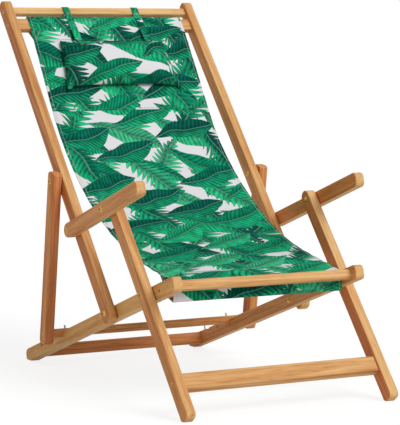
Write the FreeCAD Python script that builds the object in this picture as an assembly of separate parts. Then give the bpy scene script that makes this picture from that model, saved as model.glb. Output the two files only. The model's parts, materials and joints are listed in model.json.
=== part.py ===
import FreeCAD, Part
import math
import os
from FreeCAD import Vector

# Folding wooden deck chair with armrests, a sling seat and a hanging head pillow.
# Side view places are pairs: millimetres ahead of the back pivot, millimetres above the ground.
# The chair faces -Y. Left is the sitter's left, +X.

# Overall sizes
OVERALL_WIDTH = 600.0
PIVOT_HEIGHT = 187.5
SEAT_SLOPE = 18.75
BACK_ANGLE = 130.5

# Wooden stock
STOCK = 24.0
RAIL_WIDTH = 35.0
EDGE_ROUND = 3.0
LAYER_GAP = 1.2

# Linkage, measured along the planks from pivot to pivot
LEG_PIVOT = 206.0
ARM_PIVOT = 241.0
PROP_PIVOT = 387.5

# Seat rails: they run past the leg pivot in front and down to the ground behind
SEAT_NOSE = 116.0
SEAT_FOOT_RISE = 7.2
SEAT_FRONT_ROUND = 11.0
SEAT_REAR_ROUND = 15.0
FRONT_BAR_INSET = 31.0
FRONT_BAR = (20.0, 25.0)
FRONT_BAR_ROUND = 9.0
SLING_BAR_SPACING = 42.0
FRONT_SLING_BAR = (24.0, 35.0)
REAR_STRETCHER_INSET = 70.5
REAR_STRETCHER = (22.0, 31.0)
STRETCHER_ROUND = 9.0

# Notches for the prop's crossbar, in the top edges of the seat rails
LAST_NOTCH_INSET = 115.5
NOTCH_PITCH = 63.5
NOTCH_COUNT = 3
NOTCH_DEPTH = 13.5
NOTCH_RAMP = 34.0
CROSSBAR_RADIUS = 10.5
SEAT_CLEARANCE = 0.35

# Stop pins behind the notches, near the rails' inner faces
PIN_RADIUS = 2.25
PIN_SETBACK = 6.0
PIN_DEPTH = 4.5
PIN_ABOVE = 17.0
PIN_BELOW = 18.0

# Back rails, measured along the rail from the back pivot
BACK_TOP = 963.0
BACK_FOOT = 25.0
BACK_TOP_ROUND = 16.5
BACK_FOOT_ROUND = 15.0
HEAD_RAIL_INSET = 30.5
HEAD_RAIL = (22.0, 16.0)
UPPER_BAR_SPACING = 46.5
UPPER_SLING_BAR = (36.0, 18.0)

# Front legs, armrests and prop
LEG_ABOVE_ARM = 24.0
LEG_FOOT_RISE = 5.0
LEG_FOOT_ROUND = 12.0
LEG_BOARD_DROP = 235.0
LEG_BOARD = (40.0, 24.0)
ARM_FRONT = 196.0
ARM_FRONT_ROUND = 12.0
PROP_TOP = 23.0
PROP_FOOT = 26.5
PROP_TOP_ROUND = 9.0
PROP_FOOT_ROUND = 12.0

# Rungs: round tenons and softened edges
TENON_RADIUS = 7.0
TENON_LENGTH = 10.0
RUNG_ROUND = 4.0

# Pivot bolts, cap nuts and washers
BOLT_RADIUS = 4.0
HEAD_RADIUS = 7.5
HEAD_HEIGHT = 3.5
NUT_HEIGHT = 4.5
NUT_GRIP = 2.5
SOCKET_RADIUS = 3.2
HEAD_SOCKET = 2.0
NUT_SOCKET = 1.4
WASHER_RADIUS = 10.0
PIVOT_CLEARANCE = 0.08
OPEN_PIVOT_CLEARANCE = 0.25
SIDE_CLEARANCE = 0.2

# Wood screws through the planks into the rungs
SCREW_RADIUS = 2.25
SCREW_HEAD_RADIUS = 4.6
SCREW_HEAD_DEPTH = 3.0
SCREW_LENGTH = 50.0
RECESS_LENGTH = 5.6
RECESS_WIDTH = 1.3
RECESS_DEPTH = 1.6

# Sling: one cloth with a sewn sleeve round each sling bar
CLOTH = 2.0
CLOTH_CLEARANCE = 0.4
SLING_SIDE_GAP = 3.6
SLING_BACK_ANGLE = -55.5
SLING_SEAT_ANGLE = -10.0
SLING_BEND = 830.0
UPPER_SLEEVE = 42.0
FRONT_SLEEVE = 55.0
SLEEVE_HANG = 11.0

# Head pillow and the two straps that hang it from the head rail
PILLOW_WIDTH = 322.0
PILLOW_LENGTH = 152.0
PILLOW_DROP = 36.0
PILLOW_FRONT = 40.0
PILLOW_BACK = 6.0
PILLOW_LIP = 5.0
PILLOW_DRAW = 7.0
SHOULDER_PLACE = 100.0
SHOULDER_FRONT = 36.0
SHOULDER_BACK = 5.4
SHOULDER_DRAW = 5.6
STRAP_PLACE = 100.0
STRAP_WIDTH = 19.0
STRAP = 2.0
STRAP_FOOT_LIFT = 11.0
STRAP_FOOT_LAP = 8.0

# Layers across the chair, as distances from its middle
ARM_OUT = OVERALL_WIDTH/2
ARM_IN = ARM_OUT - STOCK
RAIL_OUT = ARM_IN - LAYER_GAP
RAIL_IN = RAIL_OUT - STOCK
SEAT_OUT = RAIL_IN - LAYER_GAP
SEAT_IN = SEAT_OUT - STOCK
SLING_HALF = SEAT_IN - SLING_SIDE_GAP

HALF_RAIL = RAIL_WIDTH/2
X_AXIS = Vector(1, 0, 0)
OVERCUT = 1.0
TINY = 1e-6


class Line:
    """A straight run in the side view, with distances along it and across it."""

    def __init__(self, origin, angle, face=1):
        turn = math.radians(angle)
        self.origin = origin
        self.along = (math.cos(turn), math.sin(turn))
        self.across = (-face*math.sin(turn), face*math.cos(turn))

    def at(self, along, across=0.0):
        return (self.origin[0] + along*self.along[0] + across*self.across[0],
                self.origin[1] + along*self.along[1] + across*self.across[1])

    def box(self, start, end, low, high):
        return [self.at(start, low), self.at(end, low), self.at(end, high), self.at(start, high)]


def point(place, x):
    """A side view place as a point at distance x across the chair."""
    return Vector(x, -place[0], place[1])


def between(first, second):
    """Distance and unit direction from one side view place to another."""
    ahead = second[0] - first[0]
    up = second[1] - first[1]
    length = math.hypot(ahead, up)
    return length, (ahead/length, up/length)


def outline(corners, radii, x):
    """A closed wire through the corners, each rounded with its own radius."""
    spans = []
    for index, corner in enumerate(corners):
        radius = radii[index]
        back = between(corner, corners[index - 1])[1]
        ahead = between(corner, corners[(index + 1) % len(corners)])[1]
        cosine = back[0]*ahead[0] + back[1]*ahead[1]
        half = math.acos(max(-1.0, min(1.0, cosine)))/2
        reach = radius/math.tan(half)
        depth = radius/math.sin(half) - radius
        middle = (back[0] + ahead[0], back[1] + ahead[1])
        size = math.hypot(*middle)
        spans.append(((corner[0] + reach*back[0], corner[1] + reach*back[1]),
                      (corner[0] + depth*middle[0]/size, corner[1] + depth*middle[1]/size),
                      (corner[0] + reach*ahead[0], corner[1] + reach*ahead[1])))
    edges = []
    for index, (start, middle, end) in enumerate(spans):
        if radii[index] > 0:
            edges.append(Part.Arc(point(start, x), point(middle, x), point(end, x)).toShape())
        following = spans[(index + 1) % len(spans)][0]
        if math.dist(end, following) > TINY:
            edges.append(Part.LineSegment(point(end, x), point(following, x)).toShape())
    return Part.Wire(edges)


def slab(corners, radii, x0, x1):
    """The rounded outline carried across the chair from x0 to x1."""
    return Part.Face(outline(corners, radii, x0)).extrude(Vector(x1 - x0, 0, 0))


def plank(line, start, end, x0, start_round, end_round):
    """A plank of the wooden stock on edge, with rounded ends and softened edges."""
    corners = line.box(start, end, -HALF_RAIL, HALF_RAIL)
    radii = [min(radius, HALF_RAIL) for radius in (start_round, end_round, end_round, start_round)]
    solid = slab(corners, radii, x0, x0 + STOCK)
    rims = [edge for edge in solid.Edges if edge.BoundBox.XLength < TINY]
    return solid.makeFillet(EDGE_ROUND, rims)


def rung(line, along, across, section, half_span, rounding=RUNG_ROUND):
    """A bar between two planks, with a round tenon at each end."""
    deep, high = section
    corners = line.box(along - deep/2, along + deep/2, across - high/2, across + high/2)
    bar = slab(corners, [min(rounding, deep/2 - OVERCUT, high/2 - OVERCUT)]*4, -half_span, half_span)
    return bar.fuse(tenons(line.at(along, across), half_span))


def tenons(place, half_span):
    """The two tenons of a rung, which stand in the planks."""
    return [Part.makeCylinder(TENON_RADIUS, TENON_LENGTH, point(place, half_span), X_AXIS),
            Part.makeCylinder(TENON_RADIUS, TENON_LENGTH, point(place, -half_span), -X_AXIS)]


def dome(place, x, radius, height, direction):
    """A low round cap on the plane at x, rising in the given direction along X."""
    ball = (radius*radius + height*height)/(2*height)
    axis = X_AXIS*direction
    cap = Part.makeCylinder(radius, height, point(place, x), axis)
    centre = point(place, x + direction*(height - ball))
    return cap.common(Part.makeSphere(ball, centre))


def shaft(place, x0, x1, radius):
    """A round bar along X."""
    return Part.makeCylinder(radius, x1 - x0, point(place, x0), X_AXIS)


def socket(place, x0, x1):
    """A hexagon socket from x0 to x1."""
    turns = [math.pi*index/3 for index in range(6)]
    corners = [(place[0] + SOCKET_RADIUS*math.cos(turn), place[1] + SOCKET_RADIUS*math.sin(turn))
               for turn in turns]
    return slab(corners, [0.0]*6, x0, x1)


def pivot(place, inner, outer, fixed_inner):
    """Bolt, cap nut and washer of one left pivot; the owner's plank is the fixed one."""
    head_gap = SIDE_CLEARANCE if fixed_inner else 0.0
    nut_gap = 0.0 if fixed_inner else SIDE_CLEARANCE
    head_x = outer + head_gap
    nut_x = inner - nut_gap
    bolt = shaft(place, nut_x - NUT_GRIP, head_x, BOLT_RADIUS)
    bolt = bolt.fuse(dome(place, head_x, HEAD_RADIUS, HEAD_HEIGHT, 1)).removeSplitter()
    nut = dome(place, nut_x, HEAD_RADIUS, NUT_HEIGHT, -1).cut(bolt)
    nut_top = nut_x - NUT_HEIGHT
    nut = nut.cut(socket(place, nut_top - OVERCUT, nut_top + NUT_SOCKET))
    head_top = head_x + HEAD_HEIGHT
    gap_start = inner + STOCK + (0.0 if fixed_inner else SIDE_CLEARANCE)
    washer = shaft(place, gap_start, gap_start + LAYER_GAP - SIDE_CLEARANCE, WASHER_RADIUS)
    washer = washer.cut(bolt)
    return bolt.cut(socket(place, head_top - HEAD_SOCKET, head_top + OVERCUT)), nut, washer


def running_hole(place, x0, x1, clearance):
    """The cut for a bolt that turns in a plank."""
    return shaft(place, x0 - OVERCUT, x1 + OVERCUT, BOLT_RADIUS + clearance)


def screw(place, face):
    """A countersunk wood screw, its head flush with the plank's outer face."""
    head = Part.makeCone(SCREW_HEAD_RADIUS, SCREW_RADIUS, SCREW_HEAD_DEPTH, point(place, face), -X_AXIS)
    shank = Part.makeCylinder(SCREW_RADIUS, SCREW_LENGTH, point(place, face), -X_AXIS)
    return head.fuse(shank).removeSplitter()


def driven(item, place, face):
    """A screw with the cross recess in its head."""
    half = RECESS_LENGTH/2
    arms = [Line(place, angle).box(-half, half, -RECESS_WIDTH/2, RECESS_WIDTH/2) for angle in (0.0, 90.0)]
    return item.cut([slab(arm, [0.0]*4, face - RECESS_DEPTH, face + OVERCUT) for arm in arms])


def mirrored(shape):
    """The same shape on the right side of the chair."""
    return shape.mirror(Vector(0, 0, 0), X_AXIS)


def pairs(shapes):
    """Left shapes and their right twins as one group."""
    return Part.makeCompound(shapes + [mirrored(shape) for shape in shapes])


def pair(shape):
    """A left shape and its right twin as one group."""
    return pairs([shape])


# Lines of the planks and the places of the pivots
back_pivot = (0.0, PIVOT_HEIGHT)
seat_line = Line(back_pivot, SEAT_SLOPE)
back_line = Line(back_pivot, BACK_ANGLE, face=-1)
leg_pivot = seat_line.at(LEG_PIVOT)
leg_line = Line(leg_pivot, BACK_ANGLE, face=-1)
arm_rear_pivot = back_line.at(ARM_PIVOT)
arm_front_pivot = leg_line.at(ARM_PIVOT)
arm_line = Line(arm_rear_pivot, SEAT_SLOPE)
prop_pivot = back_line.at(PROP_PIVOT)

# Ends of the seat rails, along the rail from the back pivot
seat_front = LEG_PIVOT + SEAT_NOSE
seat_rear = (PIVOT_HEIGHT - SEAT_FOOT_RISE)/seat_line.along[1]

# The crossbar rests at the bottom of the front notch
first_notch = seat_rear - LAST_NOTCH_INSET - NOTCH_PITCH*(NOTCH_COUNT - 1)
notch_radius = CROSSBAR_RADIUS + SEAT_CLEARANCE
notch_level = HALF_RAIL - NOTCH_DEPTH + notch_radius
crossbar_place = seat_line.at(-first_notch, notch_level)
prop_length, prop_run = between(crossbar_place, prop_pivot)
prop_line = Line(prop_pivot, math.degrees(math.atan2(prop_run[1], prop_run[0])), face=-1)

# Everything under the ground, to cut the feet flat
reach = seat_rear + BACK_TOP
ground = Part.makeBox(2*reach, 2*reach, reach, Vector(-reach, -reach, -reach))

# Rung places
front_bar_along = seat_front - FRONT_BAR_INSET
front_sling_along = front_bar_along - SLING_BAR_SPACING
rear_stretcher_along = REAR_STRETCHER_INSET - seat_rear
head_rail_along = BACK_TOP - HEAD_RAIL_INSET
upper_sling_along = head_rail_along - UPPER_BAR_SPACING

front_bar = rung(seat_line, front_bar_along, 0.0, FRONT_BAR, SEAT_IN, FRONT_BAR_ROUND)
front_sling_bar = rung(seat_line, front_sling_along, 0.0, FRONT_SLING_BAR, SEAT_IN)
rear_stretcher = rung(seat_line, rear_stretcher_along, 0.0, REAR_STRETCHER, SEAT_IN, STRETCHER_ROUND)
head_rail = rung(back_line, head_rail_along, 0.0, HEAD_RAIL, RAIL_IN)
upper_sling_bar = rung(back_line, upper_sling_along, 0.0, UPPER_SLING_BAR, RAIL_IN)
leg_board = rung(leg_line, -LEG_BOARD_DROP, 0.0, LEG_BOARD, RAIL_IN)
prop_crossbar = shaft(crossbar_place, -ARM_IN, ARM_IN, CROSSBAR_RADIUS)
prop_crossbar = prop_crossbar.fuse(tenons(crossbar_place, ARM_IN)).removeSplitter()

# Screws, by the body that they hold together
seat_places = [seat_line.at(along) for along in (front_bar_along, front_sling_along, rear_stretcher_along)]
back_places = [back_line.at(along) for along in (head_rail_along, upper_sling_along)]
seat_screws = [screw(place, SEAT_OUT) for place in seat_places]
back_screws = [screw(place, RAIL_OUT) for place in back_places]
leg_board_place = leg_line.at(-LEG_BOARD_DROP)
leg_screw = screw(leg_board_place, RAIL_OUT)
crossbar_screw = screw(crossbar_place, ARM_OUT)

# Pivots: each bolt stays with the first plank named, and the second turns on it
back_bolt, back_nut, back_washer = pivot(back_pivot, SEAT_IN, RAIL_OUT, True)
leg_bolt, leg_nut, leg_washer = pivot(leg_pivot, SEAT_IN, RAIL_OUT, True)
rear_bolt, rear_nut, rear_washer = pivot(arm_rear_pivot, RAIL_IN, ARM_OUT, True)
prop_bolt, prop_nut, prop_washer = pivot(prop_pivot, RAIL_IN, ARM_OUT, True)
front_bolt, front_nut, front_washer = pivot(arm_front_pivot, RAIL_IN, ARM_OUT, False)


def notch(along):
    """The cut for the crossbar: a steep rear wall, a round seat and a ramp to the front."""
    ramp = math.radians(NOTCH_RAMP)
    rise = notch_radius + NOTCH_DEPTH
    run = notch_radius/math.cos(ramp) + rise*math.tan(ramp)
    centre = seat_line.at(along, notch_level)
    bottom = Part.makeCylinder(notch_radius, STOCK, point(centre, SEAT_IN), X_AXIS)
    mouth = [seat_line.at(along - notch_radius, notch_level),
             seat_line.at(along + notch_radius*math.cos(ramp), notch_level - notch_radius*math.sin(ramp)),
             seat_line.at(along + run, notch_level + rise),
             seat_line.at(along - notch_radius, notch_level + rise)]
    return bottom.fuse(slab(mouth, [0.0]*4, SEAT_IN, SEAT_OUT))


def stop_pin(along):
    """A steel pin that stands behind a notch in the rail's top edge."""
    place = seat_line.at(along - notch_radius - PIN_SETBACK, HALF_RAIL - PIN_BELOW)
    top = Vector(0, -seat_line.across[0], seat_line.across[1])
    base = point(place, SEAT_IN + PIN_DEPTH)
    pin = Part.makeCylinder(PIN_RADIUS, PIN_BELOW + PIN_ABOVE, base, top)
    return pin.fuse(Part.makeSphere(PIN_RADIUS, base + top*(PIN_BELOW + PIN_ABOVE))).removeSplitter()


notch_places = [-first_notch - NOTCH_PITCH*index for index in range(NOTCH_COUNT)]
stop_pins = [stop_pin(along) for along in notch_places]

# Planks, each cut for its rungs, screws, bolts and, on the seat rails, notches and pins
seat_rail = plank(seat_line, -seat_rear, seat_front, SEAT_IN, SEAT_REAR_ROUND, SEAT_FRONT_ROUND)
seat_rail = seat_rail.cut([notch(along) for along in notch_places])
seat_rail = seat_rail.cut([front_bar, front_sling_bar, rear_stretcher, back_bolt, leg_bolt, ground]
                          + seat_screws + stop_pins)

back_rail = plank(back_line, -BACK_FOOT, BACK_TOP, RAIL_IN, BACK_FOOT_ROUND, BACK_TOP_ROUND)
back_rail = back_rail.cut([head_rail, upper_sling_bar, rear_bolt, prop_bolt,
                           running_hole(back_pivot, RAIL_IN, RAIL_OUT, PIVOT_CLEARANCE)] + back_screws)

leg_reach = (leg_pivot[1] - LEG_FOOT_RISE)/leg_line.along[1]
front_leg = plank(leg_line, -leg_reach, ARM_PIVOT + LEG_ABOVE_ARM, RAIL_IN, LEG_FOOT_ROUND, HALF_RAIL)
front_leg = front_leg.cut([leg_board, leg_screw, ground,
                           running_hole(leg_pivot, RAIL_IN, RAIL_OUT, PIVOT_CLEARANCE),
                           running_hole(arm_front_pivot, RAIL_IN, RAIL_OUT, OPEN_PIVOT_CLEARANCE)])

armrest = plank(arm_line, -HALF_RAIL, LEG_PIVOT + ARM_FRONT, ARM_IN, HALF_RAIL, ARM_FRONT_ROUND)
armrest = armrest.cut([front_bolt, running_hole(arm_rear_pivot, ARM_IN, ARM_OUT, PIVOT_CLEARANCE)])

prop_leg = plank(prop_line, -prop_length - PROP_FOOT, PROP_TOP, ARM_IN, PROP_FOOT_ROUND, PROP_TOP_ROUND)
prop_leg = prop_leg.cut([prop_crossbar, crossbar_screw,
                         running_hole(prop_pivot, ARM_IN, ARM_OUT, PIVOT_CLEARANCE)])


def drilled(bar, screws):
    """A rung with its screw holes at both ends."""
    return bar.cut(screws + [mirrored(item) for item in screws])


def band(corners, radius, thickness, start, end):
    """A belt of cloth round the corner centres of a bar, from start to end across the chair."""
    outer = slab(grown(corners, radius + thickness), [radius + thickness]*len(corners), start, end)
    return outer.cut(slab(grown(corners, radius), [radius]*len(corners), start, end))


def grown(corners, distance):
    """A convex outline moved outwards by a distance; its corners run counter-clockwise."""
    moved = []
    count = len(corners)
    for index, corner in enumerate(corners):
        first = between(corners[index - 1], corner)[1]
        second = between(corner, corners[(index + 1) % count])[1]
        share = distance/(1 + first[0]*second[0] + first[1]*second[1])
        moved.append((corner[0] + share*(first[1] + second[1]),
                      corner[1] - share*(first[0] + second[0])))
    return moved


def corner_centres(line, along, section):
    """Centres of a rung's rounded corners, counter-clockwise in the side view."""
    deep = section[0]/2 - RUNG_ROUND
    high = section[1]/2 - RUNG_ROUND
    corners = line.box(along - deep, along + deep, -high, high)
    spin = line.along[0]*line.across[1] - line.along[1]*line.across[0]
    return corners if spin > 0 else corners[::-1]


# Sling: its two straight runs leave the sling bars, and one long bend joins them
sleeve_radius = RUNG_ROUND + CLOTH_CLEARANCE
cloth_offset = sleeve_radius + CLOTH/2
upper_centres = corner_centres(back_line, upper_sling_along, UPPER_SLING_BAR)
front_centres = corner_centres(seat_line, front_sling_along, FRONT_SLING_BAR)
upper_leave = back_line.at(upper_sling_along - UPPER_SLING_BAR[0]/2 + RUNG_ROUND,
                           UPPER_SLING_BAR[1]/2 - RUNG_ROUND)
front_leave = seat_line.at(front_sling_along + FRONT_SLING_BAR[0]/2 - RUNG_ROUND,
                           FRONT_SLING_BAR[1]/2 - RUNG_ROUND)
back_run = Line(Line(upper_leave, SLING_BACK_ANGLE).at(0.0, cloth_offset), SLING_BACK_ANGLE)
seat_run = Line(Line(front_leave, SLING_SEAT_ANGLE).at(0.0, cloth_offset), SLING_SEAT_ANGLE)


def crossing(first, second):
    """The place where two runs meet."""
    ahead = second.origin[0] - first.origin[0]
    up = second.origin[1] - first.origin[1]
    turn = first.along[0]*second.along[1] - first.along[1]*second.along[0]
    return first.at((ahead*second.along[1] - up*second.along[0])/turn)


def cloth_strip():
    """The sling between its sleeves: a straight back, a long bend and a straight seat."""
    faces = []
    for side in (CLOTH/2, -CLOTH/2):
        first = Line(back_run.at(0.0, side), SLING_BACK_ANGLE)
        second = Line(seat_run.at(0.0, side), SLING_SEAT_ANGLE)
        faces.append((first.origin, crossing(first, second), second.origin))
    upper, lower = faces
    corners = [upper[0], upper[1], upper[2], lower[2], lower[1], lower[0]]
    radii = [0.0, SLING_BEND - CLOTH/2, 0.0, 0.0, SLING_BEND + CLOTH/2, 0.0]
    return slab(corners, radii, -SLING_HALF, SLING_HALF)


def hull(corners):
    """The corners that stand on the outside, counter-clockwise from the lowest."""
    ordered = sorted(set(corners))
    chains = []
    for run in (ordered, ordered[::-1]):
        chain = []
        for place in run:
            while len(chain) > 1 and turns_right(chain[-2], chain[-1], place):
                chain.pop()
            chain.append(place)
        chains.append(chain[:-1])
    return chains[0] + chains[1]


def turns_right(first, second, third):
    """Whether the way through three places bends to the right or not at all."""
    return ((second[0] - first[0])*(third[1] - first[1])
            - (second[1] - first[1])*(third[0] - first[0])) <= TINY


upper_seam = Line(upper_leave, SLING_BACK_ANGLE).at(UPPER_SLEEVE)
front_seam = Line(front_leave, SLING_SEAT_ANGLE).at(-FRONT_SLEEVE)
upper_band = band(hull(upper_centres + [upper_seam]), sleeve_radius, CLOTH, -SLING_HALF, SLING_HALF)
front_low = seat_line.at(front_sling_along + FRONT_SLING_BAR[0]/2 - RUNG_ROUND,
                         RUNG_ROUND - FRONT_SLING_BAR[1]/2)
front_hang = (front_low[0], front_low[1] - SLEEVE_HANG)
front_loop = hull(front_centres + [front_seam, front_hang])
front_band = band(front_loop, sleeve_radius, CLOTH, -SLING_HALF, SLING_HALF)
sling = cloth_strip().fuse([upper_band, front_band]).removeSplitter()

# Head pillow: fuller in front than behind, thin at its seam, drawn in between its corners
seam_level = CLOTH/2 + CLOTH_CLEARANCE + PILLOW_BACK


def pillow_section(x, front, behind, draw):
    """The pillow cut across at x: a front arc and a back arc that meet at the seams."""
    start = PILLOW_DROP + draw
    end = PILLOW_DROP + PILLOW_LENGTH - draw
    middle = (start + end)/2
    seams = [point(back_run.at(place, seam_level), x) for place in (start, end)]
    front_arc = Part.Arc(seams[0], point(back_run.at(middle, seam_level + front), x), seams[1])
    back_arc = Part.Arc(seams[1], point(back_run.at(middle, seam_level - behind), x), seams[0])
    return Part.Wire([front_arc.toShape(), back_arc.toShape()])


half_pillow = PILLOW_WIDTH/2
pillow_end = (PILLOW_LIP, PILLOW_LIP/2, 0.0)
pillow_shoulder = (SHOULDER_FRONT, SHOULDER_BACK, SHOULDER_DRAW)
head_pillow = Part.makeLoft([pillow_section(-half_pillow, *pillow_end),
                             pillow_section(-SHOULDER_PLACE, *pillow_shoulder),
                             pillow_section(0.0, PILLOW_FRONT, PILLOW_BACK, PILLOW_DRAW),
                             pillow_section(SHOULDER_PLACE, *pillow_shoulder),
                             pillow_section(half_pillow, *pillow_end)], True, False)


def pillow_strap(middle):
    """A strap that loops over the head rail and runs down to the pillow's upper seam."""
    start = middle - STRAP_WIDTH/2
    end = middle + STRAP_WIDTH/2
    centres = corner_centres(back_line, head_rail_along, HEAD_RAIL)
    loop = band(centres, sleeve_radius, STRAP, start, end)
    top = back_line.at(head_rail_along, HEAD_RAIL[1]/2 + CLOTH_CLEARANCE + STRAP/2)
    foot = back_run.at(PILLOW_DROP + PILLOW_DRAW + STRAP_FOOT_LAP, seam_level + STRAP_FOOT_LIFT)
    length, run = between(top, foot)
    tape = Line(top, math.degrees(math.atan2(run[1], run[0])))
    strip = slab(tape.box(0.0, length, -STRAP/2, STRAP/2), [0.0]*4, start, end)
    return strip.fuse(loop).cut([head_rail, head_pillow]).removeSplitter()


nodes = {
    "seat_rail_left": seat_rail,
    "seat_rail_right": mirrored(seat_rail),
    "rear_stretcher": drilled(rear_stretcher, seat_screws[2:]),
    "front_bar": drilled(front_bar, seat_screws[:1]),
    "front_sling_bar": drilled(front_sling_bar, seat_screws[1:2]),
    "stop_pins": pairs(stop_pins),
    "seat_frame_screws": pairs([driven(item, place, SEAT_OUT) for item, place in zip(seat_screws, seat_places)]),
    "sling": sling,
    "back_pivot_bolts": pair(back_bolt),
    "back_pivot_nuts": pair(back_nut),
    "back_pivot_washers": pair(back_washer),
    "leg_pivot_bolts": pair(leg_bolt),
    "leg_pivot_nuts": pair(leg_nut),
    "leg_pivot_washers": pair(leg_washer),
    "back_rail_left": back_rail,
    "back_rail_right": mirrored(back_rail),
    "head_rail": drilled(head_rail, back_screws[:1]),
    "upper_sling_bar": drilled(upper_sling_bar, back_screws[1:]),
    "back_frame_screws": pairs([driven(item, place, RAIL_OUT) for item, place in zip(back_screws, back_places)]),
    "head_pillow": head_pillow,
    "pillow_strap_left": pillow_strap(STRAP_PLACE),
    "pillow_strap_right": pillow_strap(-STRAP_PLACE),
    "arm_rear_bolts": pair(rear_bolt),
    "arm_rear_nuts": pair(rear_nut),
    "arm_rear_washers": pair(rear_washer),
    "prop_pivot_bolts": pair(prop_bolt),
    "prop_pivot_nuts": pair(prop_nut),
    "prop_pivot_washers": pair(prop_washer),
    "front_leg_left": front_leg,
    "front_leg_right": mirrored(front_leg),
    "leg_board": drilled(leg_board, [leg_screw]),
    "leg_board_screws": pair(driven(leg_screw, leg_board_place, RAIL_OUT)),
    "armrest_left": armrest,
    "arm_front_bolt_left": front_bolt,
    "arm_front_nut_left": front_nut,
    "arm_front_washer_left": front_washer,
    "armrest_right": mirrored(armrest),
    "arm_front_bolt_right": mirrored(front_bolt),
    "arm_front_nut_right": mirrored(front_nut),
    "arm_front_washer_right": mirrored(front_washer),
    "prop_leg_left": prop_leg,
    "prop_leg_right": mirrored(prop_leg),
    "prop_crossbar": drilled(prop_crossbar, [crossbar_screw]),
    "crossbar_screws": pair(driven(crossbar_screw, crossbar_place, ARM_OUT)),
}

# The origin is on the ground, in the middle of the chair's length
whole = Part.makeCompound(list(nodes.values())).optimalBoundingBox(True, False)
middle_y = (whole.YMin + whole.YMax)/2
os.makedirs("parts", exist_ok=True)
for name, shape in nodes.items():
    placed = shape.translated(Vector(0, -middle_y, 0))
    placed.exportStep("parts/" + name + ".step")
    print(f"{name}: {len(placed.Solids)} solids, volume {placed.Volume:.0f}, valid {placed.isValid()}")

places = {"back_pivot": back_pivot, "leg_pivot": leg_pivot, "arm_rear_pivot": arm_rear_pivot,
          "arm_front_pivot": arm_front_pivot, "prop_pivot": prop_pivot, "crossbar": crossbar_place}
for name, place in places.items():
    print(f"{name}: y {-place[0] - middle_y:.4f}, z {place[1]:.4f}")
print(f"box x {whole.XLength:.2f}, y {whole.YLength:.2f}, z {whole.ZMin:.3f} to {whole.ZMax:.2f}")
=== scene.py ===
"""Looks of a folding wooden deck chair with a printed canvas sling and a hanging head pillow."""

import json
import logging
import math
from dataclasses import dataclass, field
from enum import Enum
from functools import cached_property
from typing import Callable, Sequence

import bpy
import numpy as np
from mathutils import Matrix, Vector
from mathutils.bvhtree import BVHTree


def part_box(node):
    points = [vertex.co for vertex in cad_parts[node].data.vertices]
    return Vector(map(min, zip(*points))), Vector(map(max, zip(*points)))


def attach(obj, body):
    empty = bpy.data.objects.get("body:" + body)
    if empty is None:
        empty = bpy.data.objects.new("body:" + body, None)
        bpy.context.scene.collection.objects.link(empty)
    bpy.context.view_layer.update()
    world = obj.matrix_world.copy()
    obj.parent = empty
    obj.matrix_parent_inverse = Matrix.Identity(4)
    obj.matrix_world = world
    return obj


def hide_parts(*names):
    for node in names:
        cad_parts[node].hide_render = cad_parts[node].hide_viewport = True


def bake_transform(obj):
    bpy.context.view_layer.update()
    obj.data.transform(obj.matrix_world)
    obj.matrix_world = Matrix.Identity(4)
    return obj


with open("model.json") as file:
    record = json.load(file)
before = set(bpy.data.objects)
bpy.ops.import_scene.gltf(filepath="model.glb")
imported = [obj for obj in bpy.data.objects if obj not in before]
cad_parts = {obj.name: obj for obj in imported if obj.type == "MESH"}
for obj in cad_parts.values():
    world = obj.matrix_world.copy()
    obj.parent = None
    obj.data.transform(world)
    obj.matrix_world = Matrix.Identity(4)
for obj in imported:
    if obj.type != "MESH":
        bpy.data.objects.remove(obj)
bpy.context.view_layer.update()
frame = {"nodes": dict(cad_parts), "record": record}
LOG = logging.getLogger("deck_chair")

MM = 0.001
# Degrees between the points of a belt round a corner
ARC_STEP = 15.0
# The flat layout of each piece of cloth, in metres
UV_NAME = "cloth"
# A fraction whose multiples spread evenly, and the range that noise seldom leaves
EVEN_SPREAD = 0.618
NOISE_SPAN = (0.3, 0.7)

# What a node's input takes: a value, a socket, or a node for its first socket
Source = float | Sequence[float] | bpy.types.NodeSocket | bpy.types.Node
# A place in the side view: metres ahead of the origin, and metres up
Flat = np.ndarray
# How far cloth stands out at a distance across and along it
Wave = Callable[[float, float], float]
# Two values, and the two that they turn into
Span = tuple[float, float, float, float]
# A seam's points, and the direction out of the cloth at each
Seam = tuple[np.ndarray, np.ndarray]


def linear(colour: str) -> tuple[float, float, float, float]:
    """Turns an sRGB hex colour into linear red, green, blue and alpha.

    Args:
        colour: six hex digits after a hash sign.

    Returns:
        The linear channels, with alpha 1.
    """
    channels = [int(colour[start:start + 2], 16)/255 for start in (1, 3, 5)]
    bent = [value/12.92 if value <= 0.04045 else ((value + 0.055)/1.055)**2.4 for value in channels]
    return bent[0], bent[1], bent[2], 1.0


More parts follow.
